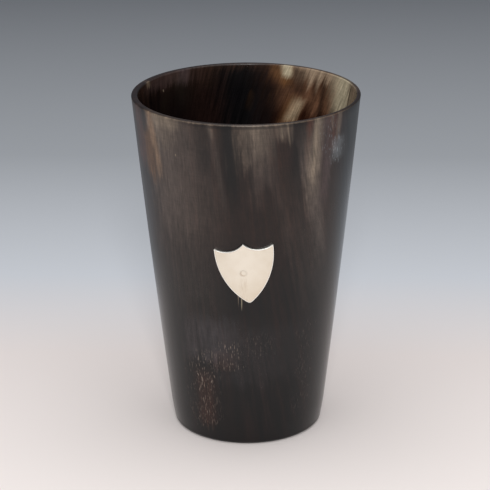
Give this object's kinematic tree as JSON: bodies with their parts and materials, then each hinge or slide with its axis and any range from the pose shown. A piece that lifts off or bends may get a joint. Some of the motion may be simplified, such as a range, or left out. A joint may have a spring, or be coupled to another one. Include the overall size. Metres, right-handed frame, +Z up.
{
  "type": "horn beaker",
  "caption": "Tall tapering drinking beaker of pressed and turned horn, closed by a horn base disc sprung into the foot, with a small plain silver shield pinned to its front.",
  "frame": {"origin": "on the table, at the centre of the foot", "axes": "+Z up along the beaker's axis to the mouth; the shield is on the front, facing -Y; +X to the right of someone who looks at the shield"},
  "size_m": [0.0782, 0.0782, 0.12],
  "materials": {
    "horn": "hand-polished horn, dark brown to near black with paler streaks below the rim, satin with fine pits",
    "base_horn": "turned horn, near black, duller than the wall",
    "silver": "hand-rubbed silver, satin, plain"
  },
  "bodies": {
    "root": {"horn_body": "horn", "base_disc": "base_horn", "silver_shield": "silver", "shield_pin": "silver"}
  },
  "joints": []
}
